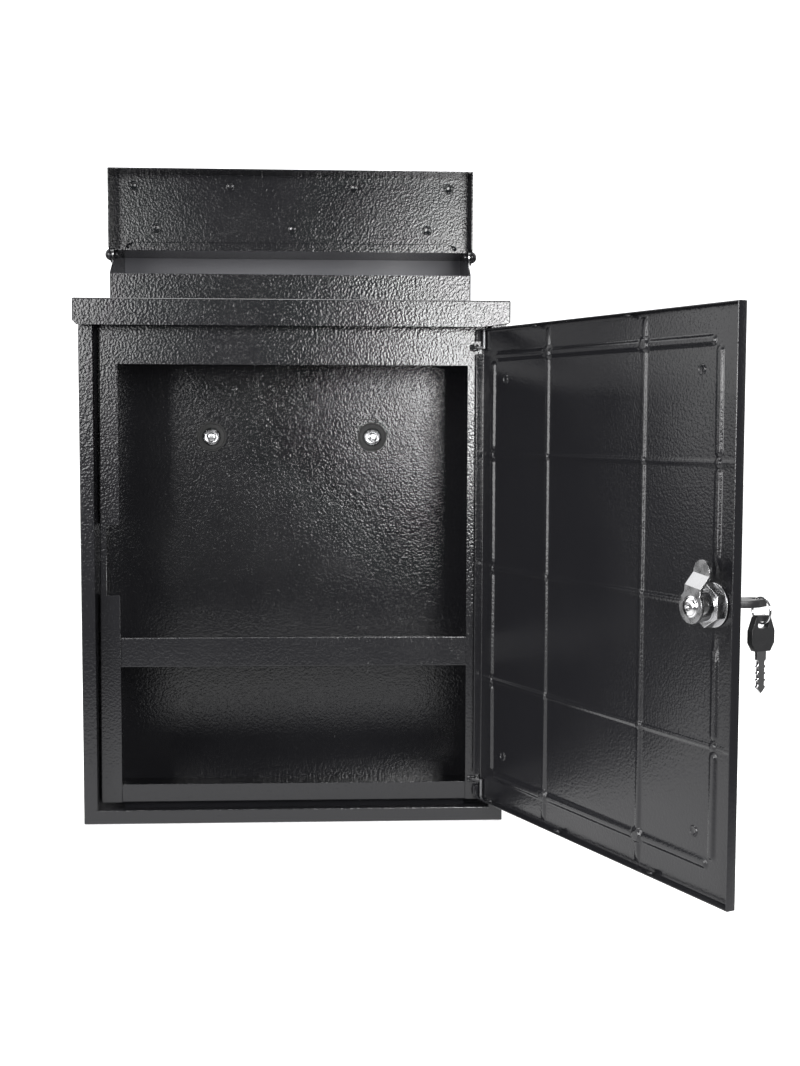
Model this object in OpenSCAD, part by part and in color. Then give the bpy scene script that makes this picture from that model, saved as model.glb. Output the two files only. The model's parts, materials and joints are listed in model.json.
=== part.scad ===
// Wall mailbox: a folded steel box with a door set into its front rim, a raised
// posting slot on the roof and a hinged rain lid over the slot.
// X runs to the right, Y runs back towards the wall and Z runs up.
// The origin is at the middle of the underside of the box.
// The model stands with its door and its lid open.

/* [Box] */
// Outer width of the box
body_w = 306; // [250:1:380]
// Outer depth of the box, from the front rim to the back
body_d = 135; // [105:1:200]
// Height of the box up to the roof sheet
body_h = 379; // [310:1:480]
// Thickness of the folded steel sheet
sheet = 1; // [0.8:0.1:1.2]
// Width of the rim round the door
rim_w = 10; // [8:0.5:14]
// Depth of the lip folded back from the rim along the door opening
rim_lip = 8; // [4:0.5:8.4]
// Height of the rail across the top of the door opening
rail_h = 16; // [12:1:24]

/* [Inner frame] */
// Distance from the front rim back to the inner frame
frame_y = 9.6; // [9.2:0.1:14]
// How far the inner frame reaches in from the sides of the box
frame_side = 26.4; // [22:0.2:36]
// Height of the sill's upper edge
sill_top = 27; // [22:0.5:40]
// Height of the sill's lower edge
sill_bottom = 13.5; // [12:0.5:18]
// Depth of the inner frame's header below the roof
header_drop = 44.5; // [32:0.5:60]
// Gap between the side wall and the inner frame, at the sill
groove_bottom = 11; // [9:0.5:13]
// Gap between the side wall and the inner frame, at the header
groove_top = 13.5; // [9:0.5:15]
// Depth of the inner frame's folded lips
frame_lip = 9; // [6:0.5:12]
// Height of the crossbar's lower edge
crossbar_z = 113.8; // [60:0.2:140]
// Height of the crossbar
crossbar_h = 21.7; // [12:0.1:30]
// Depth of the crossbar's folded edges
crossbar_lip = 4; // [2:0.5:8]

/* [Roof] */
// How far the roof stands out in front of the rim
roof_front = 12; // [6:0.5:20]
// Height of the roof's folded skirt
skirt_h = 18.7; // [14:0.1:26]
// Gap between the roof's skirt and the sides of the box
skirt_gap = 1; // [0.5:0.1:2]

/* [Posting slot] */
// Distance from the side of the box to the slot collar
slot_side = 23; // [18:0.5:40]
// Distance from the front rim to the collar's front wall
slot_front = 10; // [6:0.5:16]
// Distance from the collar's back wall to the back of the box
slot_back = 49; // [40:1:80]
// Sideways shift of the collar and the lid
slot_shift = -1.5; // [-4:0.5:4]
// Height of the collar's front wall
collar_front_h = 19.3; // [14:0.1:26]
// Height of the collar's hood
collar_h = 39.5; // [38:0.5:44]
// Width of the collar's seat left inside round the slot
slot_seat = 2; // [1.5:0.5:4]

/* [Lid] */
// Distance from the collar's front wall back to the lid pivot
pivot_back = 26; // [24:0.5:30]
// Height of the lid pivot over the roof
pivot_h = 35.5; // [34:0.5:38]
// Length of the lid from its pivot to its front skirt
lid_len = 60.5; // [54:0.5:66]
// Depth of the lid's side flanges
lid_depth = 23; // [18:0.5:24]
// How far the lid's panel lies behind its pivot
lid_behind = 9; // [8:0.5:11]
// Gap between the open lid and the hood that stops it
lid_rest = 0.3; // [0.2:0.1:1]
// Distance from the lid's sides to the outer rivets of its upper row
lid_rivet_side = 16; // [12:0.5:24]
// Distance from the lid's sides to the outer rivets of its lower row
lid_rivet_side_low = 32.3; // [24:0.1:44]
// Distance between the two inner rivets of the lid's upper row
lid_rivet_span = 91.3; // [60:0.1:110]
// Distance from the lid's front skirt to its upper row of rivets
lid_rivet_top = 9.5; // [7:0.5:14]
// Distance from the lid's lower edge to its lower row of rivets
lid_rivet_foot = 16.2; // [12:0.2:20]
// Height of the rolled hem along the lid's lower edge
hem_h = 5.8; // [4:0.2:8]
// How far the hem stands out from the lid's panel
hem_t = 2.5; // [1.5:0.5:3.5]
// Distance from the lid's side flange to the end of the hem
hem_end = 10; // [6:0.5:16]
// Radius of the lid's pivot rivets
rivet_r = 2; // [1.5:0.25:2.25]
// Radius of a pivot rivet's round head
rivet_head_r = 4.5; // [3.5:0.25:5.5]
// Thickness of the washer between the collar and the lid
washer_t = 1.3; // [0.8:0.1:2]

/* [Door] */
// Gap between the rim and each upright edge of the door
door_gap = 1; // [0.8:0.1:2]
// Height of the door's lower edge
door_z = 16; // [14:0.5:20]
// Gap between the roof's skirt and the top of the door
door_top_gap = 0.8; // [0.5:0.1:2]
// Depth of the door's folded edges
door_t = 7; // [6:0.5:7.4]
// How far the closed door's face lies behind the rim
door_set = 0.5; // [0.3:0.1:0.6]
// Angle that the door stands open
door_angle = 114.5; // [90:0.5:120]
// Distance from the door's hinged edge to the hinge pins
pin_in = 4.2; // [3.6:0.1:5]
// Distance from the front rim back to the hinge pins
pin_y = 3; // [2.6:0.1:3.4]
// Radius of the hinge pins
pin_r = 1.2; // [1:0.1:1.3]
// Clearance round a turning pin or rivet
pin_play = 0.06; // [0.04:0.01:0.1]

/* [Door beads] */
// Width of the pressed beads that cross the door
bead_w = 3; // [2:0.5:5]
// Height of the beads
bead_h = 1; // [0.6:0.1:1.5]
// Distance from the door's upright edges to the border beads
border_side = 18.2; // [12:0.2:30]
// Distance from the door's top and bottom edges to the border beads
border_end = 20.2; // [12:0.2:30]
// Distance between the two upright beads
bead_span = 106.6; // [80:0.2:120]
// Distance between the level beads
bead_row = 82; // [60:0.5:90]
// Shift of the bead pattern towards the hinges
bead_shift = 2.7; // [-4:0.1:4]
// Half-height of the flat panel left round the lock
lock_flat = 24; // [20:1:32]
// Distance from the border beads in to the door's rivets
door_rivet_in = 16.5; // [10:0.5:24]

/* [Lock] */
// Distance from the door's free edge to the lock
lock_in = 23; // [20:0.5:40]
// Height of the lock
lock_z = 188.7; // [120:0.1:260]
// Radius of the lock's barrel
barrel_r = 9.5; // [8:0.5:10]
// Length of the barrel behind the door's face
barrel_len = 16; // [15:0.5:18]
// Radius of the lock's bezel
bezel_r = 11.5; // [11:0.5:14]
// Thickness of the bezel
bezel_t = 3; // [2:0.5:4]
// Radius of the plug
plug_r = 6.5; // [5:0.5:7]
// Radius of the lock nut across its corners
nut_r = 13; // [12.5:0.5:14]
// Thickness of the lock nut
nut_t = 6; // [4:0.5:7]
// Length of the cam from the plug's axis to its tip
cam_len = 27; // [24:0.5:30]
// Thickness of the cam
cam_t = 2; // [1.5:0.25:2.5]
// Offset of the cam's tip towards the door
cam_crank = 5.2; // [4:0.1:5.6]
// Angle of the cam from upright
cam_lean = 8; // [0:1:12]

/* [Keys] */
// Length of a key's blade
blade_len = 25; // [22:0.5:30]
// Width of a key's blade
blade_w = 7; // [5:0.5:8]
// Thickness of a key's blade
blade_t = 2; // [1.6:0.1:2.4]
// How far the key is pushed into the plug
key_in = 14.4; // [4:0.2:16]
// Length of a key's bow
bow_len = 21; // [18:0.5:26]
// Width of a key's bow
bow_w = 17; // [14:0.5:22]
// Thickness of a key's bow
bow_t = 4.4; // [3:0.2:5]
// Distance from the bow's end to the middle of its hole
bow_hole_in = 5.6; // [5:0.2:7]
// Height of the bow's hole
bow_hole_h = 4; // [3.6:0.1:4.4]
// Width of the bow's hole
bow_hole_w = 8; // [7:0.5:9]
// Radius of the key ring to the middle of its wire
ring_r = 7.6; // [7:0.1:9]
// Radius of the key ring's wire
ring_wire = 0.7; // [0.5:0.1:0.8]

/* [Fixings] */
// Distance between the two wall bolts
bolt_span = 130; // [100:1:160]
// Height of the wall bolts
bolt_z = 281.5; // [200:0.5:300]
// Sideways shift of the wall bolts
bolt_shift = -4; // [-8:0.5:8]
// Radius of a wall bolt's thread, behind the box
bolt_r = 4; // [3:0.5:5]
// Radius of a wall bolt's neck, in the back of the box
bolt_neck_r = 4.4; // [4.2:0.1:6]
// Length of a wall bolt behind the box
bolt_out = 30; // [20:1:50]
// Radius of the washer under a wall bolt's head
bolt_washer_r = 11.8; // [9:0.2:14]

/* [Hidden] */
$fn = 64;
e = 0.5; // how far a cutting shape runs past the face that it cuts

black = [0.06, 0.06, 0.065];
zinc = [0.75, 0.76, 0.78];
chrome = [0.85, 0.86, 0.88];
rubber = [0.1, 0.1, 0.1];
plastic = [0.12, 0.12, 0.12];

// The box
half_w = body_w / 2;
inner_w = half_w - sheet;
rim_in = half_w - rim_w;
floor_lip = 8;
wall_washer_t = 1.5;

// The roof and the collar of the posting slot
roof_z = body_h + sheet;
roof_half = half_w + skirt_gap + sheet;
skirt_z = roof_z - skirt_h;
skirt_relief = 3; // bevel on the lower corners of the skirt
collar_half = half_w - slot_side;
collar_y0 = slot_front;
collar_y1 = body_d - slot_back;
pivot_y = collar_y0 + pivot_back;
pivot_z = roof_z + pivot_h;
hood_y = pivot_y - 3; // the hood's front edge
ear_bevel = 4; // slope of the collar's sides in front of the hood

// The lid, measured from its pivot
washer_gap = 0.2; // play between the washer and the rivet's head
lid_half = collar_half + washer_t + washer_gap + sheet;
lid_foot = collar_h - pivot_h + lid_rest; // height of the panel's lower edge
lid_tab_r = 6;

// The inner frame
frame_in = half_w - frame_side;
frame_back = frame_y + sheet;
frame_top = skirt_z + rim_w / 2;
header_z = body_h - header_drop;
lip_back = frame_back + frame_lip;
crossbar_lap = 9; // how far the crossbar reaches behind the frame
notch_in = 9.4; // depth of the cut-out that clears the lock nut
notch_z0 = lock_z - 21.7;
notch_z1 = lock_z + 29.8;
wing_web = 4; // what stays of the frame's wing behind the cut-out

// Where the inner frame's slanting outer edge lies at a height
function edge_x(z) = half_w - groove_bottom
    - (groove_top - groove_bottom) * (z - sill_bottom) / (frame_top - sill_bottom);

// The door, as it lies when it is closed
door_half = rim_in - door_gap;
door_top = skirt_z - door_top_gap;
door_h = door_top - door_z;
door_mid_z = door_z + door_h / 2;
door_back = door_set + door_t;
skin_back = door_set + sheet;
border_half_x = door_half - border_side;
border_half_z = door_h / 2 - border_end;

// The hinges
pin_x = door_half - pin_in;
bracket_t = 2;
bracket_upper_z = door_top - 14;
bracket_lower_z = door_z + 12;
relief_h = 9; // height of the notches that clear the hinge brackets

// The lock, on the closed door
lock_x = -door_half + lock_in;
nut_y = skin_back + 1;
washer_r = 13;
cam_y = door_set + barrel_len + 0.1;
cam_hub_r = 10;
cam_tip_r = 7;
cam_hole_r = 3;
screw_r = 6.3;
screw_t = 2.2;

// The keys: one stands out of the plug, and the ring hangs on the side of its bow
key_play = 0.15; // play of a blade in the plug
blade_root = 4; // how far a blade reaches into its bow
loose = 0.15; // gap where one piece hangs on another
key_y = door_set - bezel_t - blade_len + key_in;
ring_web = (bow_w - bow_hole_w) / 4;
ring_x = lock_x - bow_w / 2 + ring_web;
ring_y = key_y - bow_len + bow_hole_in;
ring_z = lock_z + bow_t / 2 + loose - ring_rest(ring_web);
spare_z = ring_z - ring_rest(bow_t / 2) + loose - bow_hole_h / 2;

// Height over the ring's middle at which it rests on a bar of this half-width
function ring_rest(half) = sqrt(pow(ring_r - ring_wire, 2) - pow(half, 2));

// Flat rivet heads on the lid and the door
stud_r = 3.5;
stud_t = 0.8;

// Places what is drawn from the front rim back
module from_front() {
    translate([0, -body_d / 2, 0]) children();
}

// Extrudes an outline drawn in X and Z between two depths
module along_y(y0, y1) {
    translate([0, y1, 0])
        rotate([90, 0, 0])
            linear_extrude(height = y1 - y0)
                children();
}

// Extrudes an outline drawn in Y and Z between two places along X
module along_x(x0, x1) {
    translate([x0, 0, 0])
        rotate([90, 0, 90])
            linear_extrude(height = x1 - x0)
                children();
}

// A block between two opposite corners
module block(a, b) {
    translate(a) cube(b - a);
}

// A cylinder along Y
module rod_y(r, y0, y1) {
    translate([0, y0, 0]) rotate([-90, 0, 0]) cylinder(r = r, h = y1 - y0);
}

// A cylinder along X
module rod_x(r, x0, x1) {
    translate([x0, 0, 0]) rotate([0, 90, 0]) cylinder(r = r, h = x1 - x0);
}

module both_sides() {
    children();
    mirror([1, 0, 0]) children();
}

// Swings what is drawn on the closed door to where the door stands
module on_door() {
    from_front()
        translate([pin_x, pin_y, 0])
            rotate([0, 0, door_angle])
                translate([-pin_x, -pin_y, 0])
                    children();
}

// Places what is drawn round the lock's axis
module on_lock() {
    on_door() translate([lock_x, 0, lock_z]) children();
}

// Turns what is drawn with the cam upright to where the cam stands
module on_cam() {
    on_lock() rotate([0, -cam_lean, 0]) children();
}

// Places what is drawn round the lid's axis
module on_lid() {
    from_front() translate([slot_shift, pivot_y, pivot_z]) children();
}

// Turns what is drawn at the right end of an axis to one of its ends
module at_end(side) {
    rotate([0, 0, side > 0 ? 0 : 180]) children();
}

module body_shell() {
    color(black)
    from_front()
    difference() {
        union() {
            both_sides() {
                block([inner_w, sheet, 0], [half_w, body_d, body_h]);
                along_y(0, sheet)
                    polygon([[rim_in, rim_w], [half_w, 0], [half_w, body_h], [rim_in, body_h]]);
                block([rim_in, 0, rim_w], [rim_in + sheet, rim_lip, body_h - rail_h]);
                block([inner_w - rim_w, body_d / 3, body_h - sheet],
                    [inner_w, body_d - sheet, body_h]);
            }
            block([-rim_in, 0, body_h - rail_h], [rim_in, sheet, body_h]);
            block([-inner_w, body_d - sheet, 0], [inner_w, body_d, body_h]);
        }
        for (side = [-1, 1])
            translate([bolt_shift + side * bolt_span / 2, 0, bolt_z])
                rod_y(bolt_neck_r, body_d - sheet - e, body_d + e);
    }
}

module floor_pan() {
    color(black)
    from_front() {
        block([-inner_w, 0, 0], [inner_w, body_d - sheet, sheet]);
        along_y(0, sheet)
            polygon([[-half_w, 0], [half_w, 0], [rim_in, rim_w], [-rim_in, rim_w]]);
        block([-rim_in, 0, rim_w - sheet], [rim_in, rim_lip, rim_w]);
        both_sides()
            block([inner_w - sheet, lip_back, 0], [inner_w, body_d - sheet, floor_lip]);
    }
}

module inner_frame() {
    color(black)
    from_front()
    difference() {
        union() {
            both_sides() {
                along_y(frame_y, frame_back)
                    polygon([[frame_in, sill_bottom], [edge_x(sill_bottom), sill_bottom],
                        [edge_x(frame_top), frame_top], [frame_in, frame_top]]);
                along_y(frame_y, lip_back)
                    polygon([[edge_x(sill_bottom) - sheet, sill_bottom],
                        [edge_x(sill_bottom), sill_bottom],
                        [edge_x(frame_top), frame_top], [edge_x(frame_top) - sheet, frame_top]]);
                along_y(lip_back - sheet, lip_back)
                    polygon([[edge_x(sill_bottom), sill_bottom], [inner_w, sill_bottom],
                        [inner_w, frame_top], [edge_x(frame_top), frame_top]]);
            }
            block([-frame_in, frame_y, header_z], [frame_in, frame_back, frame_top]);
        }
        block([-frame_in - notch_in, frame_y - e, notch_z0], [-frame_in + e, frame_back + e, notch_z1]);
        block([-inner_w + wing_web, frame_back, notch_z0], [-frame_in, lip_back + e, notch_z1]);
    }
}

module frame_sill() {
    color(black)
    from_front() {
        block([-frame_in, frame_y, sill_bottom], [frame_in, frame_back, sill_top]);
        block([-frame_in, frame_y, sill_bottom], [frame_in, lip_back, sill_bottom + sheet]);
        block([-frame_in, lip_back - sheet, sheet], [frame_in, lip_back, sill_bottom + sheet]);
    }
}

module crossbar() {
    half = frame_in + crossbar_lap;
    color(black)
    from_front() {
        block([-half, frame_back, crossbar_z], [half, frame_back + sheet, crossbar_z + crossbar_h]);
        for (z = [crossbar_z, crossbar_z + crossbar_h - sheet])
            block([-half, frame_back, z], [half, frame_back + crossbar_lip, z + sheet]);
    }
}

module roof_cap() {
    color(black)
    from_front()
    difference() {
        union() {
            block([-roof_half, -roof_front, body_h], [roof_half, body_d, roof_z]);
            along_y(-roof_front, -roof_front + sheet)
                polygon([[-roof_half, skirt_z + skirt_relief], [-roof_half + skirt_relief, skirt_z],
                    [roof_half - 2 * rim_w, skirt_z], [roof_half, skirt_z + skirt_relief],
                    [roof_half, roof_z], [-roof_half, roof_z]]);
            both_sides()
                block([roof_half - sheet, -roof_front, skirt_z + skirt_relief],
                    [roof_half, body_d, roof_z]);
        }
        translate([slot_shift, 0, 0])
            block([-collar_half + slot_seat, collar_y0 + slot_seat, body_h - e],
                [collar_half - slot_seat, collar_y1 - slot_seat, roof_z + e]);
    }
}

module slot_collar() {
    color(black)
    from_front()
    translate([slot_shift, 0, 0])
    difference() {
        union() {
            block([-collar_half, collar_y0, roof_z],
                [collar_half, collar_y0 + sheet, roof_z + collar_front_h]);
            block([-collar_half, collar_y1 - sheet, roof_z],
                [collar_half, collar_y1, roof_z + collar_h]);
            block([-collar_half, hood_y, roof_z + collar_h - sheet],
                [collar_half, collar_y1, roof_z + collar_h]);
            both_sides()
                along_x(collar_half - sheet, collar_half)
                    polygon([[collar_y0, roof_z], [collar_y1, roof_z],
                        [collar_y1, roof_z + collar_h], [hood_y, roof_z + collar_h],
                        [hood_y - ear_bevel, roof_z + collar_h - 2 * ear_bevel],
                        [collar_y0, roof_z + collar_front_h]]);
        }
        translate([0, pivot_y, pivot_z])
            rod_x(rivet_r, -collar_half - e, collar_half + e);
    }
}

module lid_panel() {
    panel_y = lid_behind - sheet;
    front_y = lid_behind - lid_depth;
    hem_half = lid_half - sheet - hem_end;
    hem_taper = 4;
    color(black)
    on_lid()
    difference() {
        union() {
            block([-lid_half, panel_y, lid_foot], [lid_half, lid_behind, lid_len]);
            block([-lid_half, front_y, lid_len - sheet], [lid_half, lid_behind, lid_len]);
            both_sides()
                along_x(lid_half - sheet, lid_half) {
                    polygon([[front_y, lid_foot], [lid_behind, lid_foot],
                        [lid_behind, lid_len], [front_y, lid_len]]);
                    polygon([[-lid_tab_r, 0], [lid_tab_r, 0],
                        [lid_behind, lid_foot], [front_y, lid_foot]]);
                    circle(r = lid_tab_r);
                }
            along_y(panel_y - hem_t, panel_y)
                polygon([[-hem_half, lid_foot], [hem_half, lid_foot],
                    [hem_half - hem_taper, lid_foot + hem_h],
                    [hem_taper - hem_half, lid_foot + hem_h]]);
        }
        rod_x(rivet_r + pin_play, -lid_half - e, lid_half + e);
    }
}

// A flat rivet head on the inner face of the lid, at a place across and up the panel
module lid_rivet(x, z) {
    translate([x, 0, z])
        rod_y(stud_r, lid_behind - sheet - stud_t, lid_behind - sheet);
}

module lid_rivets() {
    color(black)
    on_lid() {
        both_sides() {
            lid_rivet(lid_half - lid_rivet_side, lid_len - lid_rivet_top);
            lid_rivet(lid_rivet_span / 2, lid_len - lid_rivet_top);
            lid_rivet(lid_half - lid_rivet_side_low, lid_foot + lid_rivet_foot);
        }
        lid_rivet(0, lid_foot + lid_rivet_foot);
    }
}

// A rivet through the collar that the lid turns on, with a round head outside the lid
module lid_pivot(side) {
    head_x = lid_half + washer_gap;
    head_t = rivet_head_r - 0.5;
    tail_t = 1.5;
    color(black)
    on_lid()
    at_end(side) {
        rod_x(rivet_r, collar_half - sheet - tail_t, head_x);
        rod_x(rivet_r + 0.8, collar_half - sheet - tail_t, collar_half - sheet);
        translate([head_x, 0, 0])
            rotate([0, 90, 0])
                rotate_extrude()
                    intersection() {
                        translate([0, head_t - rivet_head_r]) circle(r = rivet_head_r);
                        square([rivet_head_r, head_t]);
                    }
    }
}

module lid_washer(side) {
    color(zinc)
    on_lid()
    at_end(side)
        difference() {
            rod_x(rivet_r + 2.5, collar_half, collar_half + washer_t);
            rod_x(rivet_r, collar_half - e, collar_half + washer_t + e);
        }
}

// The outline of the beads on the door, drawn round the middle of their pattern
module bead_outline() {
    difference() {
        union() {
            for (side = [-1, 1]) {
                translate([side * bead_span / 2 - bead_w / 2, -door_h / 2 + sheet])
                    square([bead_w, door_h - 2 * sheet]);
                translate([side * border_half_x - bead_w / 2, -border_half_z])
                    square([bead_w, 2 * border_half_z]);
                translate([-border_half_x, side * border_half_z - bead_w / 2])
                    square([2 * border_half_x, bead_w]);
            }
            for (row = [-1, 0, 1])
                translate([-door_half + sheet - bead_shift, row * bead_row - bead_w / 2])
                    square([2 * (door_half - sheet), bead_w]);
        }
        translate([-door_half - bead_shift - e, lock_z - door_mid_z - lock_flat])
            square([2 * lock_in + e, 2 * lock_flat]);
    }
}

module door_panel() {
    color(black)
    on_door()
    difference() {
        union() {
            block([-door_half, door_set, door_z], [door_half, skin_back, door_top]);
            for (z = [door_z, door_top - sheet])
                block([-door_half, door_set, z], [door_half, door_back, z + sheet]);
            both_sides()
                block([door_half - sheet, door_set, door_z], [door_half, door_back, door_top]);
            translate([bead_shift, 0, door_mid_z])
                along_y(skin_back, skin_back + bead_h)
                    bead_outline();
        }
        translate([lock_x, 0, lock_z])
            rod_y(barrel_r, door_set - e, skin_back + bead_h + e);
        for (z = [door_z - e, door_top - sheet - e])
            translate([pin_x, pin_y, z])
                cylinder(r = pin_r + pin_play, h = sheet + 2 * e);
        for (z = [bracket_upper_z, bracket_lower_z])
            block([door_half - sheet - e, skin_back, z + (bracket_t - relief_h) / 2],
                [door_half + e, door_back + e, z + (bracket_t + relief_h) / 2]);
    }
}

module door_rivets() {
    color(black)
    on_door()
        for (side_x = [-1, 1], side_z = [-1, 1])
            translate([bead_shift + side_x * (border_half_x - door_rivet_in), 0,
                    door_mid_z + side_z * (border_half_z - door_rivet_in)])
                rod_y(stud_r, skin_back, skin_back + stud_t);
}

// An ear welded to the inner frame, which carries one hinge pin at its tip
module hinge_bracket(z) {
    reach = frame_y - pin_y;
    foot_end = 10; // how far in from the pin the ear's foot ends
    foot_start = 2.6; // how far in from the pin the foot starts
    tip = 0.65; // half of the ear's width at its tip, along X and along Y
    color(black)
    from_front()
    translate([pin_x, pin_y, z])
    difference() {
        linear_extrude(height = bracket_t)
            polygon([[-foot_end, reach], [-foot_start, reach], [tip, tip], [-tip, -tip]]);
        translate([0, 0, -e]) cylinder(r = pin_r, h = bracket_t + 2 * e);
    }
}

module hinge_pin(z0, z1) {
    color(zinc)
    from_front()
    translate([pin_x, pin_y, z0])
        cylinder(r = pin_r, h = z1 - z0);
}

module lock_barrel() {
    color(chrome)
    on_lock()
    difference() {
        union() {
            rod_y(bezel_r, door_set - bezel_t, door_set);
            rod_y(barrel_r, door_set, door_set + barrel_len);
        }
        rod_y(plug_r + pin_play, door_set - bezel_t - e, door_set + barrel_len + e);
    }
}

module lock_washer() {
    color(zinc)
    on_lock()
    difference() {
        rod_y(washer_r, skin_back, nut_y);
        rod_y(barrel_r, skin_back - e, nut_y + e);
    }
}

module lock_nut() {
    color(zinc)
    on_lock()
    difference() {
        translate([0, nut_y + nut_t, 0])
            rotate([90, 30, 0])
                cylinder(r = nut_r, h = nut_t, $fn = 6);
        rod_y(barrel_r, nut_y - e, nut_y + nut_t + e);
    }
}

module lock_plug() {
    color(chrome)
    on_lock()
    difference() {
        rod_y(plug_r, door_set - bezel_t, cam_y);
        block([-blade_w / 2 - key_play, door_set - bezel_t - e, -blade_t / 2 - key_play],
            [blade_w / 2 + key_play, door_set + barrel_len - sheet, blade_t / 2 + key_play]);
    }
}

module lock_cam() {
    tip_y = cam_y - cam_crank;
    bend0 = cam_hub_r + 1.4;
    bend1 = bend0 + 1.4 * cam_crank;
    tip_z = cam_len - cam_tip_r;
    color(zinc)
    on_cam()
    difference() {
        union() {
            rod_y(cam_hub_r, cam_y, cam_y + cam_t);
            block([-cam_tip_r, cam_y, 0], [cam_tip_r, cam_y + cam_t, bend0]);
            along_x(-cam_tip_r, cam_tip_r)
                polygon([[cam_y, bend0], [cam_y + cam_t, bend0],
                    [tip_y + cam_t, bend1], [tip_y, bend1]]);
            block([-cam_tip_r, tip_y, bend1], [cam_tip_r, tip_y + cam_t, tip_z]);
            translate([0, 0, tip_z]) rod_y(cam_tip_r, tip_y, tip_y + cam_t);
        }
        rod_y(cam_hole_r, cam_y - e, cam_y + cam_t + e);
    }
}

module cam_screw() {
    color(chrome)
    on_cam() {
        rod_y(cam_hole_r, cam_y, cam_y + cam_t);
        rod_y(screw_r, cam_y + cam_t, cam_y + cam_t + screw_t);
    }
}

// A key's blade with cuts along both edges, reaching along Y from the bow
module blade() {
    half = blade_w / 2;
    cut = 1.1;
    neck = 5;
    pitch = 4;
    tooth = [[half, 0], [half - cut, 1], [half - cut, 3]];
    edge = [for (i = [0:3], p = tooth) [p[0], neck + i * pitch + p[1]]];
    point = blade_len - 1.5;
    translate([0, 0, -blade_t / 2])
        linear_extrude(height = blade_t)
            polygon(concat(
                [[-half, -blade_root], [half, -blade_root]],
                edge,
                [[half, neck + 4 * pitch], [half - 2, point], [0, blade_len],
                    [2 - half, point], [-half, neck + 4 * pitch]],
                [for (i = [len(edge) - 1:-1:0]) [-edge[i][0], edge[i][1]]]));
}

// A key's moulded bow, reaching back along Y from the blade
module bow() {
    half = bow_w / 2;
    shoulder = blade_w / 2 + 2;
    slope = 5; // length of the slope from the shoulder to the full width
    taper = 9; // length over which the bow narrows towards its end
    corner = 3; // width of the bevel on its end corners
    flat = half - 1.5 * corner; // half-width of its flat end
    hole_r = bow_hole_h / 2;
    difference() {
        translate([0, 0, -bow_t / 2])
            linear_extrude(height = bow_t)
                polygon([[-shoulder, 0], [shoulder, 0], [half, -slope], [half, taper - bow_len],
                    [half - corner, 1 - bow_len], [flat, -bow_len],
                    [-flat, -bow_len], [corner - half, 1 - bow_len],
                    [-half, taper - bow_len], [-half, -slope]]);
        translate([0, bow_hole_in - bow_len, -bow_t]) {
            both_sides()
                translate([bow_hole_w / 2 - hole_r, 0, 0])
                    cylinder(r = hole_r, h = 2 * bow_t);
            block([hole_r - bow_hole_w / 2, -hole_r, 0],
                [bow_hole_w / 2 - hole_r, hole_r, 2 * bow_t]);
        }
        block([-blade_w / 2, -blade_root, -blade_t / 2], [blade_w / 2, e, blade_t / 2]);
    }
}

// Places the key that is in the lock, lying level
module on_key() {
    on_lock() translate([0, key_y, 0]) children();
}

// Places the key that hangs from the ring, standing edge on to the ring
module on_spare() {
    on_door()
        translate([ring_x, ring_y, spare_z + bow_hole_in - bow_len])
            rotate([0, 90, 0])
                rotate([0, 0, -90])
                    children();
}

module key_blade() {
    color(zinc)
    on_key() blade();
}

module key_bow() {
    color(plastic)
    on_key() bow();
}

module key_ring() {
    color(zinc)
    on_door()
        translate([ring_x, ring_y, ring_z])
            rotate([90, 0, 0])
                rotate_extrude()
                    translate([ring_r, 0]) circle(r = ring_wire);
}

module spare_key_blade() {
    color(zinc)
    on_spare() blade();
}

module spare_key_bow() {
    color(plastic)
    on_spare() bow();
}

module wall_bolt(side) {
    head_r = 7;
    head_t = 4;
    head_y = body_d - sheet - wall_washer_t;
    color(zinc)
    from_front()
    translate([bolt_shift + side * bolt_span / 2, 0, bolt_z]) {
        rod_y(head_r, head_y - head_t, head_y);
        rod_y(bolt_neck_r, head_y, body_d);
        rod_y(bolt_r, body_d, body_d + bolt_out);
    }
}

module wall_washer(side) {
    color(rubber)
    from_front()
    translate([bolt_shift + side * bolt_span / 2, 0, bolt_z])
    difference() {
        rod_y(bolt_washer_r, body_d - sheet - wall_washer_t, body_d - sheet);
        rod_y(bolt_neck_r, body_d - sheet - wall_washer_t - e, body_d - sheet + e);
    }
}

body_shell();
floor_pan();
inner_frame();
frame_sill();
crossbar();
roof_cap();
slot_collar();
lid_panel();
lid_rivets();
lid_pivot(-1);  // lid_pivot_left
lid_pivot(1);  // lid_pivot_right
lid_washer(-1);  // lid_washer_left
lid_washer(1);  // lid_washer_right
door_panel();
door_rivets();
hinge_bracket(bracket_upper_z);  // hinge_bracket_upper
hinge_bracket(bracket_lower_z);  // hinge_bracket_lower
hinge_pin(bracket_upper_z, door_top + 0.4);  // hinge_pin_upper
hinge_pin(door_z - 0.6, bracket_lower_z + bracket_t);  // hinge_pin_lower
lock_barrel();
lock_washer();
lock_nut();
lock_plug();
lock_cam();
cam_screw();
key_blade();
key_bow();
key_ring();
spare_key_blade();
spare_key_bow();
wall_bolt(-1);  // wall_bolt_left
wall_bolt(1);  // wall_bolt_right
wall_washer(-1);  // wall_washer_left
wall_washer(1);  // wall_washer_right
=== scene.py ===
"""Looks of the wall mailbox: powder-coated sheet steel, zinc and nickel hardware, black key bows.

Lengths are in metres and follow the CAD frame: +X right, +Y towards the wall, +Z up.
"""

import json
import math

import bmesh
import bpy
from mathutils import Matrix, Vector

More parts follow.
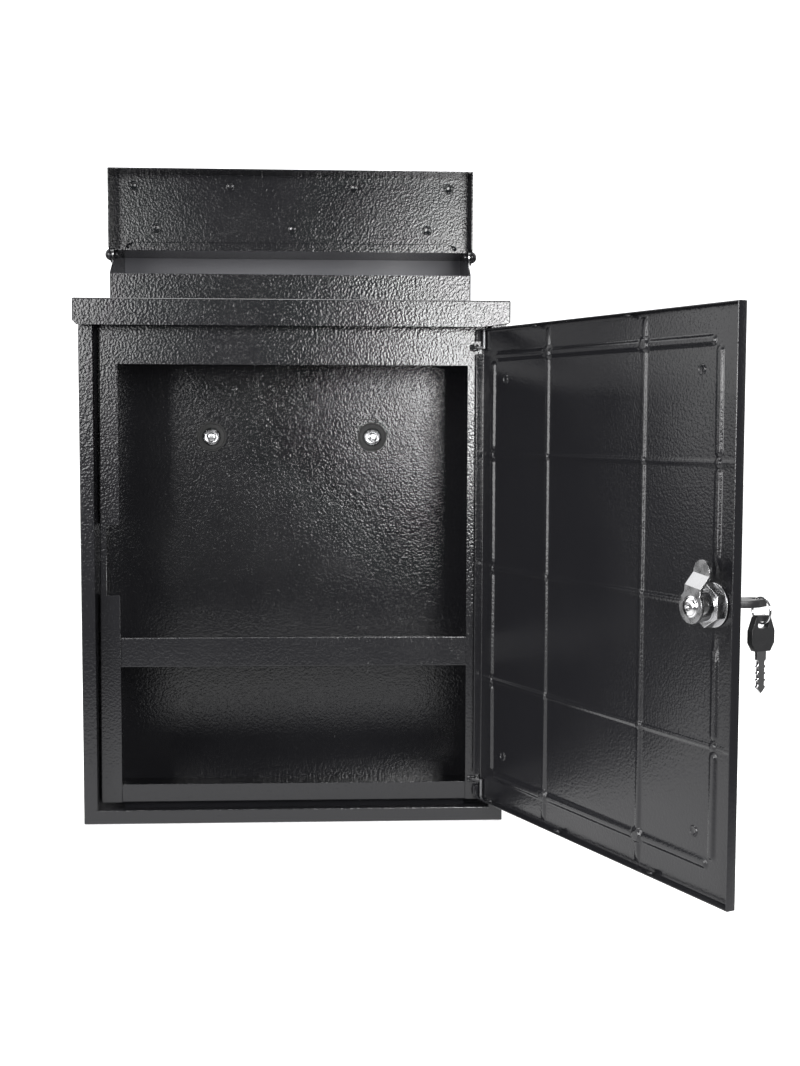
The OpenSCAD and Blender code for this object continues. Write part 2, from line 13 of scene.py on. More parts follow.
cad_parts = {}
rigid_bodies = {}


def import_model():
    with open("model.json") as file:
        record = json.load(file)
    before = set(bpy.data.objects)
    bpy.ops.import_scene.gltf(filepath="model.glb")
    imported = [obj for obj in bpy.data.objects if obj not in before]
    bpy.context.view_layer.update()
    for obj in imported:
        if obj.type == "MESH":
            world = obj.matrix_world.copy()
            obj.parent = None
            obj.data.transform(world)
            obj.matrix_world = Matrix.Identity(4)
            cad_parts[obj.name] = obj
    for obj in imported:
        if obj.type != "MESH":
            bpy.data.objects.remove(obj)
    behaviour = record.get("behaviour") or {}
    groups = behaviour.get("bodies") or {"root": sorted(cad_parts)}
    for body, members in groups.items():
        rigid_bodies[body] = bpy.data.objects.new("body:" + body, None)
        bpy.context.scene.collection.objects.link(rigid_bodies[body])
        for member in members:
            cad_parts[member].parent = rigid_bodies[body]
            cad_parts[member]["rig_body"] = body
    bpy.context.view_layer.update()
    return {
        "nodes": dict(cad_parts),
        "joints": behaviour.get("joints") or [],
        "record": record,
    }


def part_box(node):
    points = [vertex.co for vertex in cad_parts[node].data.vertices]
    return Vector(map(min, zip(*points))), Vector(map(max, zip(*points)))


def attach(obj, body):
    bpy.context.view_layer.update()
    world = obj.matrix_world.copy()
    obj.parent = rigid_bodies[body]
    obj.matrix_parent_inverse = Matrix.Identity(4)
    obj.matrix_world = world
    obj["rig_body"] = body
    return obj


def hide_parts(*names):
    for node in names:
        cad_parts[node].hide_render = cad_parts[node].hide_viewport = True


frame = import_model()

MM = 0.001
MERGE = 0.002 * MM  # corners nearer than this are one corner
SHARP = math.radians(40)  # folds sharper than this are rounded
FLAT_AREA = 30e-6  # square metres; larger faces are sheet, and shaded flat


# ---------------------------------------------------------------- camera, light and floor

def make_camera():
    """The photograph's view: a little above the middle, turned slightly to the right."""
    data = bpy.data.cameras.new("camera")
    data.sensor_fit = "VERTICAL"
    data.sensor_height = 36
    data.lens = 48.52
    camera = bpy.data.objects.new("camera", data)
    yaw, pitch, roll = 0.05244, 0.07452, -0.00302
    camera.matrix_world = (
        Matrix.Translation((22.4 * MM, -1107.3 * MM, 290.8 * MM))
        @ Matrix.Rotation(-yaw, 4, "Z")
        @ Matrix.Rotation(math.pi / 2 - pitch, 4, "X")
        @ Matrix.Rotation(-roll, 4, "Z")
    )
    bpy.context.scene.collection.objects.link(camera)
    bpy.context.scene.camera = camera


def make_light(name, place, size, power):
    """A rectangular softbox at a place, facing the middle of the mailbox."""
    data = bpy.data.lights.new(name, "AREA")
    data.shape = "RECTANGLE"
    data.size, data.size_y = size
    data.energy = power
    light = bpy.data.objects.new(name, data)
    direction = Vector((0, 0, 0.25)) - Vector(place)
    light.matrix_world = (
        Matrix.Translation(place) @ direction.to_track_quat("-Z", "Y").to_matrix().to_4x4()
    )
    bpy.context.scene.collection.objects.link(light)


def map_range(tree, source, low, high, at_low, at_high, kind="LINEAR"):
    """Maps a grey source from low..high to at_low..at_high, and holds it beyond."""
    node = tree.nodes.new("ShaderNodeMapRange")
    node.interpolation_type = kind
    for key, value in (
        ("From Min", low), ("From Max", high), ("To Min", at_low), ("To Max", at_high),
    ):
        node.inputs[key].default_value = value
    tree.links.new(source, node.inputs["Value"])
    return node.outputs["Result"]


def make_stage():
    """A white floor and background, dim behind the camera, with softboxes in front and above."""
    world = bpy.data.worlds.new("studio")
    world.use_nodes = True
    tree = world.node_tree
    background = tree.nodes["Background"]
    direction = tree.nodes.new("ShaderNodeTexCoord").outputs["Generated"]
    split = tree.nodes.new("ShaderNodeSeparateXYZ")
    tree.links.new(direction, split.inputs["Vector"])
    dim, bright = 0.06, 1.7
    glow = map_range(tree, split.outputs["Y"], -0.45, 0.35, dim, bright)
    seen = tree.nodes.new("ShaderNodeMath")
    seen.operation = "MAXIMUM"
    tree.links.new(glow, seen.inputs[0])
    tree.links.new(tree.nodes.new("ShaderNodeLightPath").outputs["Is Camera Ray"], seen.inputs[1])
    tree.links.new(seen.outputs["Value"], background.inputs["Color"])
    bpy.context.scene.world = world
    bpy.context.scene.view_settings.view_transform = "Standard"

    mesh = bpy.data.meshes.new("floor")
    reach = 6.0
    mesh.from_pydata(
        [(-reach, -reach, 0), (reach, -reach, 0), (reach, reach, 0), (-reach, reach, 0)],
        [], [(0, 1, 2, 3)],
    )
    floor = bpy.data.objects.new("floor", mesh)
    floor.location.z = -0.5 * MM
    bpy.context.scene.collection.objects.link(floor)
    mesh.materials.append(floor_material())

    for name, place, size, power in (
        ("right_box", (0.42, -1.2, 0.465), (0.5, 0.39), 9.5),
        ("key_box", (0.27, -1.19, 0.34), (0.2, 0.22), 2.6),
        ("left_box", (-0.54, -1.15, 0.485), (0.44, 0.39), 5.6),
        ("side_box", (-0.95, -0.75, 0.45), (0.5, 0.9), 9),
        ("top_box", (0.0, -0.1, 1.7), (0.9, 0.6), 12),
    ):
        make_light(name, place, size, power)


def floor_material():
    """A pale floor. What the mailbox reflects of it fades with distance, as a table top ends."""
    material = bpy.data.materials.new("floor")
    material.use_nodes = True
    tree = material.node_tree
    pale = tree.nodes["Principled BSDF"]
    pale.inputs["Base Color"].default_value = (0.9, 0.9, 0.9, 1)
    pale.inputs["Roughness"].default_value = 0.9
    pale.inputs["Emission Color"].default_value = (1, 1, 1, 1)
    pale.inputs["Emission Strength"].default_value = 0.5
    away = tree.nodes.new("ShaderNodeVectorMath")
    away.operation = "LENGTH"
    tree.links.new(tree.nodes.new("ShaderNodeTexCoord").outputs["Object"], away.inputs[0])
    near, far = 1.35, 0.12
    fade = map_range(tree, away.outputs["Value"], 0.3, 0.8, near, far, "SMOOTHSTEP")
    glow = tree.nodes.new("ShaderNodeEmission")
    tree.links.new(fade, glow.inputs["Strength"])
    mix = tree.nodes.new("ShaderNodeMixShader")
    tree.links.new(tree.nodes.new("ShaderNodeLightPath").outputs["Is Camera Ray"], mix.inputs[0])
    tree.links.new(glow.outputs["Emission"], mix.inputs[1])
    tree.links.new(pale.outputs["BSDF"], mix.inputs[2])
    tree.links.new(mix.outputs["Shader"], tree.nodes["Material Output"].inputs["Surface"])
    return material


# ---------------------------------------------------------------- materials

class Nodes:
    """Short ways to add and link shader nodes in one material."""

    def __init__(self, name):
        self.material = bpy.data.materials.new(name)
        self.material.use_nodes = True
        self.tree = self.material.node_tree
        self.shader = self.tree.nodes["Principled BSDF"]

    def add(self, kind, **values):
        node = self.tree.nodes.new(kind)
        for key, value in values.items():
            if key in node.inputs:
                node.inputs[key].default_value = value
            else:
                setattr(node, key, value)
        return node

    def link(self, source, target):
        self.tree.links.new(source, target)

    def place(self):
        """Object coordinates, so that grain keeps its size on every piece."""
        return self.add("ShaderNodeTexCoord").outputs["Object"]

    def noise(self, scale, detail=2.0):
        node = self.add("ShaderNodeTexNoise", Scale=scale, Detail=detail)
        self.link(self.place(), node.inputs["Vector"])
        return node.outputs["Fac"]

    def ramp(self, source, low, high):
        """Maps the middle of a grey source's range to two colours or two grey values."""
        node = self.add("ShaderNodeValToRGB")
        for element, value, where in zip(node.color_ramp.elements, (low, high), (0.3, 0.7)):
            element.position = where
            element.color = (*value, 1) if isinstance(value, tuple) else (value, value, value, 1)
        self.link(source, node.inputs["Fac"])
        return node.outputs["Color"]

    def bump(self, source, strength, distance, normal=None):
        node = self.add("ShaderNodeBump", Strength=strength, Distance=distance)
        self.link(source, node.inputs["Height"])
        if normal is not None:
            self.link(normal, node.inputs["Normal"])
        return node.outputs["Normal"]


def powder_coat(name, grain=0.75, size=1.7, rough=0.15, grey=0.011, sag=None):
    """Glossy black powder coat: wrinkled orange peel over a finer ripple, sizes in millimetres.

    A sag of (top, width, drop) shades a sheet as if its upper edge curved away.
    """
    n = Nodes(name)
    blue = 1.15 * grey
    n.shader.inputs["Base Color"].default_value = (grey, grey, blue, 1)
    peel = n.noise(1000 / size, detail=1.0)
    fine = n.noise(2600 / size, detail=1.0)
    cloudy = n.noise(22.0, detail=3.0)
    n.link(n.ramp(cloudy, rough * 0.85, rough * 1.2), n.shader.inputs["Roughness"])
    normal = None
    if sag:
        top, width, drop = sag
        split = n.add("ShaderNodeSeparateXYZ")
        n.link(n.place(), split.inputs["Vector"])
        bow = map_range(n.tree, split.outputs["Z"], top - width, top, 1.0, 0.0, "SMOOTHSTEP")
        normal = n.bump(bow, 1.0, drop)
    normal = n.bump(peel, grain, 0.28 * MM, normal)
    normal = n.bump(fine, grain * 0.5, 0.1 * MM, normal)
    n.link(normal, n.shader.inputs["Normal"])
    return n.material


def bright_metal(name, color, rough, scratch=0.15):
    """Plated steel with faint clouding and fine scratches."""
    n = Nodes(name)
    n.shader.inputs["Metallic"].default_value = 1.0
    clouds = n.noise(160.0, detail=4.0)
    tint = tuple(c * 0.86 for c in color)
    n.link(n.ramp(clouds, tint, color), n.shader.inputs["Base Color"])
    n.link(n.ramp(clouds, rough * 0.7, rough * 1.3), n.shader.inputs["Roughness"])
    n.link(n.bump(n.noise(2600.0, detail=3.0), scratch, 0.05 * MM), n.shader.inputs["Normal"])
    return n.material


def moulded_plastic(name):
    """Black plastic with a fine spark-eroded skin."""
    n = Nodes(name)
    n.shader.inputs["Base Color"].default_value = (0.018, 0.018, 0.019, 1)
    n.link(n.ramp(n.noise(300.0), 0.38, 0.5), n.shader.inputs["Roughness"])
    n.link(n.bump(n.noise(3000.0), 0.25, 0.05 * MM), n.shader.inputs["Normal"])
    return n.material


def black_rubber(name):
    """Matt black rubber with a dusty bloom."""
    n = Nodes(name)
    bloom = n.noise(90.0, detail=4.0)
    n.link(n.ramp(bloom, (0.015, 0.015, 0.015), (0.03, 0.03, 0.03)), n.shader.inputs["Base Color"])
    n.link(n.ramp(bloom, 0.6, 0.75), n.shader.inputs["Roughness"])
    return n.material


def paint(name, material):
    """Gives a CAD node its material."""
    materials = frame["nodes"][name].data.materials
    materials.clear()
    materials.append(material)


# ---------------------------------------------------------------- geometry helpers

def node_mesh(name):
    return frame["nodes"][name].data


def body_of(name):
    return frame["nodes"][name]["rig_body"]


def joint(name):
    return next(j for j in frame["joints"] if j["name"] == name)


def turned(name, degrees):
    """The matrix that turns things about a joint by an angle."""
    j = joint(name)
    pivot = Matrix.Translation(Vector(j["pos_m"]))
    return pivot @ Matrix.Rotation(math.radians(degrees), 4, Vector(j["axis"])) @ pivot.inverted()


def closed_door():
    """The matrix that opens the closed door, and the closed door's lowest and highest corners."""
    to_open = turned("door_hinge", -joint("door_hinge")["range_deg"][0])
    to_closed = to_open.inverted()
    corners = [to_closed @ v.co for v in node_mesh("door_panel").vertices]
    low = Vector(min(c[i] for c in corners) for i in range(3))
    high = Vector(max(c[i] for c in corners) for i in range(3))
    return to_open, low, high


def add_piece(name, bm, material, body, replaces=(), flat_from=FLAT_AREA):
    """Turns a bmesh into a piece that rides on a body; faces over an area stay flat."""
    mesh = bpy.data.meshes.new(name)
    bm.normal_update()
    bm.to_mesh(mesh)
    bm.free()
    mesh.materials.append(material)
    piece = bpy.data.objects.new(name, mesh)
    bpy.context.scene.collection.objects.link(piece)
    mesh.set_sharp_from_angle(angle=math.radians(50))  # clears flat faces, so it comes first
    for polygon in mesh.polygons:
        polygon.use_smooth = polygon.area < flat_from
    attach(piece, body)
    if replaces:
        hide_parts(*replaces)


def is_wide(face):
    """True for a face of sheet, false for the sheet's own thin edge."""
    narrow = 1.6 * MM
    around = sum(edge.calc_length() for edge in face.edges)
    return 2 * face.calc_area() / around > narrow


def sharp_edges(bm):
    return [e for e in bm.edges if len(e.link_faces) == 2 and e.calc_face_angle(0) > SHARP]


def bevel_edges(bm, edges, radius, segments):
    if edges:
        bmesh.ops.bevel(
            bm, geom=edges, offset=radius, offset_type="OFFSET", segments=segments,
            profile=0.5, affect="EDGES", clamp_overlap=True,
        )


def soften(name, fold=1.1 * MM, edge=0.3 * MM, material=None):
    """Replaces a node by a copy with rounded folds and broken edges, as coated steel has."""
    bm = bmesh.new()
    bm.from_mesh(node_mesh(name))
    bmesh.ops.remove_doubles(bm, verts=bm.verts, dist=MERGE)
    bmesh.ops.dissolve_limit(
        bm, angle_limit=math.radians(1), verts=bm.verts, edges=bm.edges, delimit=set(),
    )
    bm.normal_update()
    if fold:
        folds = [
            e for e in sharp_edges(bm) if e.is_convex and all(is_wide(f) for f in e.link_faces)
        ]
        bevel_edges(bm, folds, fold, 3)
        bm.normal_update()
    bevel_edges(bm, [e for e in sharp_edges(bm) if e.is_convex], edge, 2)
    slot = slots[name]
    add_piece("soft_" + name, bm, material or by_slot[slot], body_of(name), [name])


def back_faces(name, material, inset):
    """Coats the forward faces at the back of a softened node differently."""
    mesh = bpy.data.objects["soft_" + name].data
    mesh.materials.append(material)
    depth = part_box(name)[1].y - inset
    for polygon in mesh.polygons:
        if polygon.center.y > depth and polygon.normal.y < -0.5:
            polygon.material_index = 1


# ---------------------------------------------------------------- the door

def smooth_step(t):
    t = min(max(t, 0.0), 1.0)
    return t * t * (3 - 2 * t)


def ridge(x, z, a, b, half, height):
    """Height at (x, z) of a pressed bead with round ends, from a to b."""
    ax, az = a
    bx, bz = b
    length = (bx - ax) ** 2 + (bz - az) ** 2
    t = min(max(((x - ax) * (bx - ax) + (z - az) * (bz - az)) / length, 0), 1)
    away = math.hypot(x - ax - t * (bx - ax), z - az - t * (bz - az))
    return height * smooth_step((half - away) / (0.75 * half))


def grid_lines(low, high, centres, reach=9 * MM, step=0.55 * MM, coarse=7 * MM):
    """Places for grid lines: close together near each centre and wide apart between."""
    lines = {low, high}
    for centre in centres:
        count = int(reach / step)
        for i in range(-count, count + 1):
            where = centre + i * step
            if low < where < high:
                lines.add(where)
    count = int((high - low) / coarse)
    for i in range(count + 1):
        where = low + (high - low) * i / count
        if all(abs(where - c) > reach for c in centres):
            lines.add(where)
    lines = sorted(lines)
    return [a for a, b in zip(lines, lines[1:] + [1e9]) if b - a > 0.1 * MM]


def strip(bm, profile, place, low, high, mitres=(0, 0)):
    """Extrudes a closed profile from low to high; place(p, q, s) gives a point.

    A mitre of 1 slants that end inwards with p, to meet the strip round the corner.
    """
    ends = [
        [bm.verts.new(place(p, q, low + mitres[0] * p)) for p, q in profile],
        [bm.verts.new(place(p, q, high - mitres[1] * p)) for p, q in profile],
    ]
    count = len(profile)
    for i in range(count):
        j = (i + 1) % count
        bm.faces.new((ends[0][i], ends[0][j], ends[1][j], ends[1][i]))
    for end, mitre in zip(ends, mitres):
        if not mitre:
            bm.faces.new(end)


def arc(centre, radius, start, end, steps):
    """Points of an arc in a profile, angles in degrees."""
    angles = [math.radians(start + (end - start) * i / steps) for i in range(steps + 1)]
    return [
        (centre[0] + radius * math.cos(t), centre[1] + radius * math.sin(t)) for t in angles
    ]


def make_door():
    """The pressed door: a skin with rounded beads inside and grooves outside, and folded edges."""
    to_open, low, high = closed_door()
    sheet = 1.0 * MM
    bend = 1.6 * MM
    shift, middle = 2.7 * MM, (low.z + high.z) / 2
    span, row = 53.3 * MM, 82 * MM
    side, end = (high.x - low.x) / 2 - 18.2 * MM, (high.z - low.z) / 2 - 20.2 * MM
    lock = to_open.inverted() @ Vector(joint("lock_turn")["pos_m"])
    lock_x, lock_z = lock.x - shift, lock.z - middle
    lock_half = 24 * MM
    edge_x, edge_z = (high.x - low.x) / 2, (high.z - low.z) / 2

    # Half the width and the height of each kind of bead
    upright, level = (3.2 * MM, 1.2 * MM), (2.3 * MM, 1.0 * MM)
    wide, big_knot, knot = (3.9 * MM, 1.5 * MM), (6.4 * MM, 2.5 * MM), (3.8 * MM, 1.9 * MM)
    through = [((u, -edge_z), (u, edge_z), *upright) for u in (-span, span)]
    through += [((-edge_x, v), (edge_x, v), *level) for v in (-row, row)]
    through += [((lock_x + lock_half, 0), (edge_x, 0), *level)]
    gap = 6.5 * MM
    border = []
    for v in (-end, end):
        for a, b in ((-side, -span), (-span, span), (span, side)):
            border.append(((a + gap, v), (b - gap, v), *wide))
    for u in (-side, side):
        for a, b in ((-end, -row), (-row, 0), (0, row), (row, end)):
            border.append(((u, a + gap), (u, b - gap), *wide))
    knots = [(u, v) for u in (-span, span) for v in (-end, -row, 0, row, end)]
    knots += [(u, v) for u in (-side, side) for v in (-row, row)] + [(side, 0)]

    def height(x, z):
        near_lock = max(abs(x - lock_x) - lock_half, abs(z - lock_z) - lock_half)
        rise = 0.0
        for bead in through + (border if near_lock > 0 else []):
            rise = max(rise, ridge(x, z, *bead))
        for u, v in knots:
            away = math.hypot(x - u, z - v)
            reach, tall = big_knot if abs(v) == end else knot
            rise = max(rise, tall * smooth_step((reach - away) / (0.6 * reach)))
        # The sheet is a little hollow at the lock and uneven between the beads, but true at its edges
        hollow, uneven, true_edge = 0.5 * MM, 0.16 * MM, 14 * MM
        dish = hollow * smooth_step(-near_lock / (5 * MM))
        wave = uneven * math.sin(math.pi * (x + span) / span) * math.cos(math.pi * z / row)
        fade = smooth_step(min(edge_x - abs(x + shift), edge_z - abs(z)) / true_edge)
        return rise + (wave - dish) * fade

    margin = 3.2 * MM  # width of the flat edge that belongs to the folds
    xs = grid_lines(
        low.x + margin, high.x - margin, [shift + u for u in (-side, -span, span, side)],
    )
    zs = grid_lines(
        low.z + margin, high.z - margin, [middle + v for v in (-end, -row, 0, row, end)],
    )
    bore = 9.2 * MM

    def from_lock(vert):
        return math.hypot(vert.co.x - lock.x, vert.co.z - lock.z)

    bm = bmesh.new()
    for y, flip in ((low.y + sheet, True), (low.y, False)):
        grid = []
        for x in xs:
            line = []
            for z in zs:
                edge = min(x - xs[0], xs[-1] - x, z - zs[0], zs[-1] - z)
                h = height(x - shift, z - middle) * smooth_step(edge / (1.5 * MM))
                line.append(bm.verts.new((x, y + h, z)))
            grid.append(line)
        for i in range(len(xs) - 1):
            for j in range(len(zs) - 1):
                quad = (grid[i][j], grid[i + 1][j], grid[i + 1][j + 1], grid[i][j + 1])
                if any(from_lock(v) >= bore for v in quad):
                    bm.faces.new(quad[::-1] if flip else quad)
    near = [
        e for e in bm.edges if e.is_boundary and all(from_lock(v) < 1.5 * bore for v in e.verts)
    ]
    bmesh.ops.bridge_loops(bm, edges=near)

    # Folded edge in section: p runs in from the door's edge, q runs back from its face
    deep = high.y - low.y
    tip = sheet / 2
    fold = (
        [(margin, sheet), (margin, 0)]
        + arc((bend, bend), bend, 270, 180, 5)
        + arc((tip, deep - tip), tip, 180, 0, 6)
        + arc((bend, bend), bend - sheet, 180, 270, 3)
    )
    slot_half = 4.5 * MM
    stops = [low.z]
    for ear in (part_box("hinge_bracket_lower"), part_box("hinge_bracket_upper")):
        centre = (ear[0].z + ear[1].z) / 2
        stops += [centre - slot_half, centre + slot_half]
    stops.append(high.z)
    skin = set(bm.faces)
    for a, b in zip(stops[::2], stops[1::2]):
        strip(
            bm, fold, lambda p, q, s: (high.x - p, low.y + q, s), a, b,
            (int(a == low.z), int(b == high.z)),
        )
    # Where the ears pass, only the rounded front of the fold stays
    shallow = [(margin, sheet), (margin, 0)] + arc((bend, bend), bend, 270, 200, 4) + arc(
        (bend, bend), bend - sheet, 200, 270, 3)
    for a, b in zip(stops[1::2], stops[2::2]):
        strip(bm, shallow, lambda p, q, s: (high.x - p, low.y + q, s), a, b)
    both = (1, 1)
    strip(bm, fold, lambda p, q, s: (low.x + p, low.y + q, s), low.z, high.z, both)
    strip(bm, fold, lambda p, q, s: (s, low.y + q, low.z + p), low.x, high.x, both)
    strip(bm, fold, lambda p, q, s: (s, low.y + q, high.z - p), low.x, high.x, both)
    bmesh.ops.recalc_face_normals(bm, faces=[f for f in bm.faces if f not in skin])
    bm.transform(to_open)
    add_piece("door_pressing", bm, door_coat, "door", ["door_panel"], flat_from=1)


# ---------------------------------------------------------------- small fittings

def lathe(bm, profile, centre, axis, steps=40):
    """Turns a profile of (radius, height) points about an axis; it starts and ends on the axis."""
    turn = Vector(axis).to_track_quat("Z", "Y").to_matrix()
    rings = []
    for r, h in profile:
        if r == 0:
            rings.append([bm.verts.new(Vector(centre) + turn @ Vector((0, 0, h)))])
            continue
        rings.append([
            bm.verts.new(Vector(centre) + turn @ Vector((
                r * math.cos(2 * math.pi * i / steps), r * math.sin(2 * math.pi * i / steps), h,
            )))
            for i in range(steps)
        ])
    for a, b in zip(rings, rings[1:]):
        for i in range(steps):
            j = (i + 1) % steps
            corners = [a[i % len(a)], a[j % len(a)], b[j % len(b)], b[i % len(b)]]
            bm.faces.new(list(dict.fromkeys(corners)))


def islands(mesh):
    """The separate solids of a mesh, each as a list of points."""
    bm = bmesh.new()
    bm.from_mesh(mesh)
    bmesh.ops.remove_doubles(bm, verts=bm.verts, dist=MERGE)
    left, found = set(bm.verts), []
    while left:
        stack, group = [left.pop()], []
        while stack:
            vert = stack.pop()
            group.append(vert.co.copy())
            for edge in vert.link_edges:
                other = edge.other_vert(vert)
                if other in left:
                    left.remove(other)
                    stack.append(other)
        found.append(group)
    bm.free()
    return found


def make_studs(name, axis):
    """Flat studs with a raised ring, in place of plain discs."""
    axis = Vector(axis).normalized()
    bm = bmesh.new()
    for points in islands(node_mesh(name)):
        centre = sum(points, Vector()) / len(points)
        foot = min(p.dot(axis) for p in points)
        tall = max(p.dot(axis) for p in points) - foot
        reach = max(((p - centre) - (p - centre).dot(axis) * axis).length for p in points)
        base = centre + (foot - centre.dot(axis)) * axis
        # From the middle out, as shares of the stud's radius and height
        profile = [
            (0, 0.35), (0.52, 0.35), (0.62, 0.55), (0.7, 0.92), (0.78, 1), (0.86, 0.92),
            (0.94, 0.5), (1, 0), (0, -0.3),
        ]
        lathe(bm, [(r * reach, h * tall) for r, h in profile], base, axis)
    bmesh.ops.recalc_face_normals(bm, faces=bm.faces)
    add_piece("soft_" + name, bm, coat, body_of(name), [name])


def make_bolt(side):
    """A wall bolt with a domed boss in its head, over a dished black washer."""
    low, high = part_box("wall_bolt_" + side)
    centre = (low + high) / 2
    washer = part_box("wall_washer_" + side)
    head_r = (high.x - low.x) / 2
    seat = washer[0].y
    tall = seat - low.y
    front = (0, -1, 0)
    stud = 4 * MM
    length = high.y - seat
    bm = bmesh.new()
    thread = [(0, -length), (stud - 1 * MM, -length), (stud, -length + 1 * MM)]
    pitch = 1.25 * MM
    for i in range(int((length - 4 * MM) / pitch)):
        h = -length + 1.4 * MM + i * pitch
        thread += [(stud, h), (stud - 0.6 * MM, h + 0.5 * MM), (stud, h + 1.05 * MM)]
    profile = thread + [
        (stud, -1 * MM), (stud, 0), (head_r, 0), (head_r, 0.55 * tall),
        (head_r - 0.35 * MM, 0.8 * tall), (head_r - 1 * MM, 0.88 * tall),
        (head_r - 1.7 * MM, 0.72 * tall), (head_r - 2 * MM, 0.5 * tall),
        (0.56 * head_r, 0.45 * tall), (0.53 * head_r, 0.85 * tall), (0.45 * head_r, 0.96 * tall),
        (0.25 * head_r, tall), (0, tall),
    ]
    lathe(bm, profile, (centre.x, seat, centre.z), front, 48)
    bmesh.ops.recalc_face_normals(bm, faces=bm.faces)
    name = "wall_bolt_" + side
    add_piece("bolt_" + side, bm, zinc, "box", [name])

    reach = (washer[1].x - washer[0].x) / 2
    thick = washer[1].y - washer[0].y
    bm = bmesh.new()
    # From the middle out, as shares of the washer's radius and thickness
    profile = [
        (0, 0.4), (0.55, 0.4), (0.62, 0.95), (0.72, 0.75), (0.86, 0.55), (0.9, 0.95), (0.95, 1),
        (0.99, 0.85), (1, 0.5), (1, 0), (0, 0),
    ]
    profile = [(r * reach, h * thick) for r, h in profile]
    lathe(bm, profile, (centre.x, washer[1].y, centre.z), front, 64)
    bmesh.ops.recalc_face_normals(bm, faces=bm.faces)
    name = "wall_washer_" + side
    add_piece("washer_" + side, bm, by_slot["rubber"], "box", [name])


def make_cam_screw():
    """The screw that holds the cam: a low domed head with a round socket, on a thin washer."""
    name = "cam_screw"
    points = [v.co for v in node_mesh(name).vertices]
    axis = Vector(joint("lock_turn")["axis"]) * -1
    pivot = Vector(joint("lock_turn")["pos_m"])
    along = [(p - pivot).dot(axis) for p in points]
    reach = max(((p - pivot) - (p - pivot).dot(axis) * axis).length for p in points)
    foot, top = min(along), max(along)
    tall = 2.2 * MM
    head = top - tall
    bm = bmesh.new()
    profile = [
        (0, foot), (0.47 * reach, foot), (0.47 * reach, head), (reach, head),
        (reach, head + 0.2 * tall), (0.97 * reach, head + 0.28 * tall),
        (0.86 * reach, head + 0.3 * tall), (0.85 * reach, head + 0.55 * tall),
        (0.76 * reach, head + 0.78 * tall), (0.6 * reach, head + 0.93 * tall),
        (0.42 * reach, top), (0.36 * reach, top), (0.33 * reach, head + 0.35 * tall),
        (0, head + 0.3 * tall),
    ]
    lathe(bm, profile, pivot, axis, 36)
    bmesh.ops.recalc_face_normals(bm, faces=bm.faces)
    add_piece("screw_head", bm, nickel, "lock", [name])


def blob(bm, centre, size):
    """A small uneven lump of weld metal under the coat."""
    made = bmesh.ops.create_uvsphere(bm, u_segments=16, v_segments=10, radius=1)
    for vert in made["verts"]:
        p = vert.co
        wobble = 1 + 0.13 * math.sin(4.1 * p.x + 7 * centre[0] / MM) * math.cos(3.3 * p.z + 2 * p.y)
        vert.co = Vector(centre) + Vector(p[i] * size[i] * wobble for i in range(3))


def make_welds():
    """Weld lumps inside the door's folded edges and at the hinge ears."""
    to_open, low, high = closed_door()
    bm = bmesh.new()
    inside = 1.6 * MM
    size = (3.4 * MM, 1.6 * MM, 1.3 * MM)
    for z, shares in ((high.z - inside, (0.26, 0.63)), (low.z + inside, (0.07, 0.38, 0.74))):
        for share in shares:
            blob(bm, (high.x - share * (high.x - low.x), high.y - 2.6 * MM, z), size)
    bm.transform(to_open)
    bmesh.ops.recalc_face_normals(bm, faces=bm.faces)
    add_piece("door_welds", bm, door_coat, "door")
    bm = bmesh.new()
    size = (3.4 * MM, 0.9 * MM, 1.2 * MM)
    for ear in ("hinge_bracket_lower", "hinge_bracket_upper"):
        a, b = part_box(ear)
        for dz in (-1.4 * MM, 1.4 * MM):
            blob(bm, (a.x + 3.5 * MM, b.y - 0.6 * MM, (a.z + b.z) / 2 + dz), size)
    bmesh.ops.recalc_face_normals(bm, faces=bm.faces)
    add_piece("ear_welds", bm, coat, "box")


def make_lid_hem():
    """The rolled bead along the lid's hinge edge, with a lump of weld at each end."""
    low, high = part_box("slot_collar")
    sheet = 1 * MM
    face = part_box("lid_panel")[1].y - sheet
    z = high.z + 3.4 * MM
    start, stop = low.x + 12 * MM, high.x - 12 * MM
    round_r = 1.5 * MM
    bm = bmesh.new()
    profile = [(0, 0), (0.7 * round_r, 0), (round_r, 0.5 * MM)]
    length = stop - start
    profile += [(round_r, length - 0.5 * MM), (0.7 * round_r, length), (0, length)]
    lathe(bm, profile, (start, face - 0.5 * round_r, z), (1, 0, 0), 24)
    for x in (start - 1 * MM, stop + 1 * MM):
        blob(bm, (x, face - 0.3 * MM, z - 0.4 * MM), (3.6 * MM, 1.7 * MM, 2.4 * MM))
    bmesh.ops.recalc_face_normals(bm, faces=bm.faces)
    add_piece("lid_hem", bm, lid_coat, "lid", flat_from=1)


# ---------------------------------------------------------------- the whole mailbox

make_camera()
make_stage()

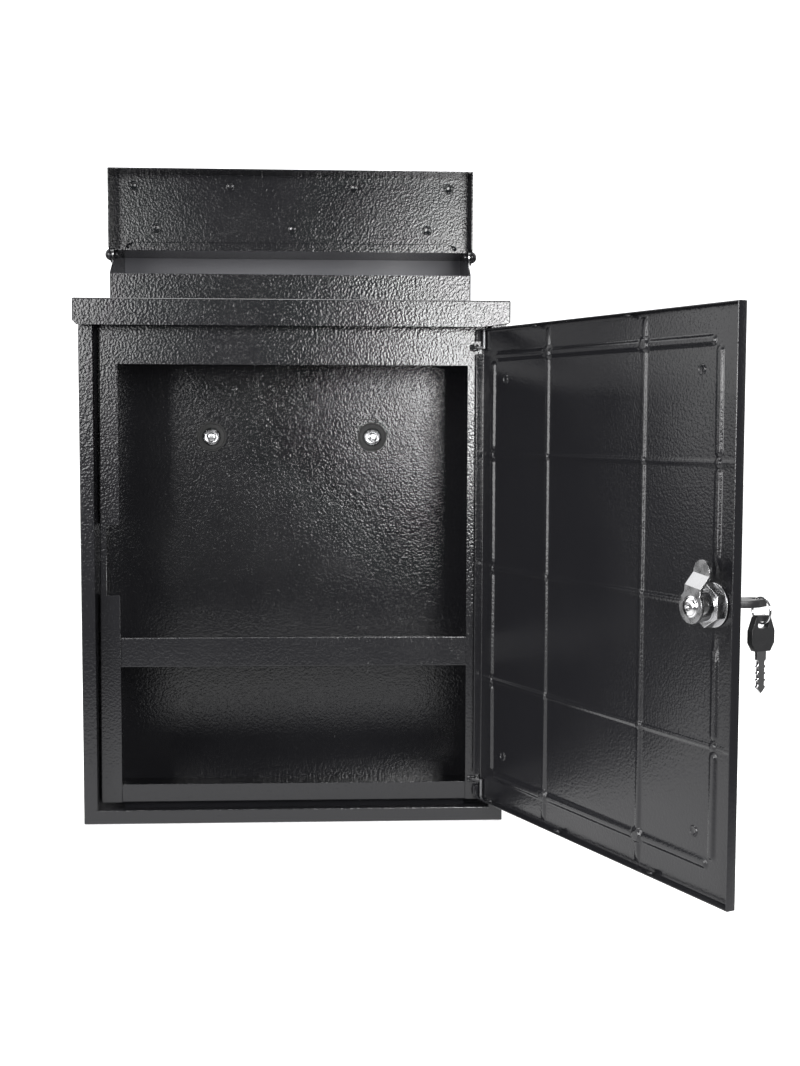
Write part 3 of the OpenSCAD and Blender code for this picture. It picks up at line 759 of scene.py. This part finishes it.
coat = powder_coat("powder_coat")
fine_coat = powder_coat("fine_coat", 0.75, 1.6, 0.16)
pin_steel = bright_metal("pin_steel", (0.16, 0.16, 0.165), 0.42)
door_coat = powder_coat(
    "door_coat", 0.55, 1.6, 0.18, sag=(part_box("door_panel")[1].z + 8 * MM, 60 * MM, 4.4 * MM),
)
lid_coat = powder_coat("lid_coat", 0.55, 1.5, 0.16)
# Painted light: a lighter grey copy of the powder coat, with weaker grain and more roughness, that
# makes the collar's inner back wall look lit under the lid
painted_light_coat = powder_coat("painted_light_coat", 0.25, 1.7, 0.45, grey=0.058)
zinc = bright_metal("zinc_plate", (0.58, 0.58, 0.59), 0.26)
nickel = bright_metal("nickel_plate", (0.82, 0.82, 0.83), 0.12, 0.05)
by_slot = {
    "powder_coat": coat,
    "zinc": zinc,
    "chrome": nickel,
    "key_plastic": moulded_plastic("key_plastic"),
    "rubber": black_rubber("rubber"),
}
slots = {part["node"]: part["material_slot"] for part in frame["record"]["subparts"]}
for name, slot in slots.items():
    paint(name, by_slot[slot])
for name in ("hinge_pin_upper", "hinge_pin_lower"):
    paint(name, pin_steel)

make_door()
for name in ("body_shell", "floor_pan", "slot_collar"):
    soften(name, edge=0.42 * MM)
soften("lid_panel", edge=0.42 * MM, material=lid_coat)
soften("roof_cap", fold=1.6 * MM)
soften("inner_frame", fold=0.8 * MM)
for name in ("frame_sill", "crossbar"):
    soften(name, fold=0.8 * MM, material=fine_coat)
back_faces("body_shell", fine_coat, 1.5 * MM)
# Painted light: the collar's inner back wall gets the lighter grey coat, which stands in for the
# light that falls there under the lid
back_faces("slot_collar", painted_light_coat, 8 * MM)
for name, edge in (
    ("hinge_bracket_upper", 0.3), ("hinge_bracket_lower", 0.3), ("lock_nut", 0.7),
    ("lock_cam", 0.5), ("key_bow", 0.7), ("spare_key_bow", 0.7), ("key_blade", 0.2),
    ("spare_key_blade", 0.2), ("lock_barrel", 0.3), ("lock_washer", 0.3),
):
    soften(name, fold=0, edge=edge * MM)
make_cam_screw()
make_studs("lid_rivets", (0, -1, 0))
make_studs("door_rivets", closed_door()[0].to_3x3() @ Vector((0, 1, 0)))
for side in ("left", "right"):
    make_bolt(side)
make_welds()
make_lid_hem()
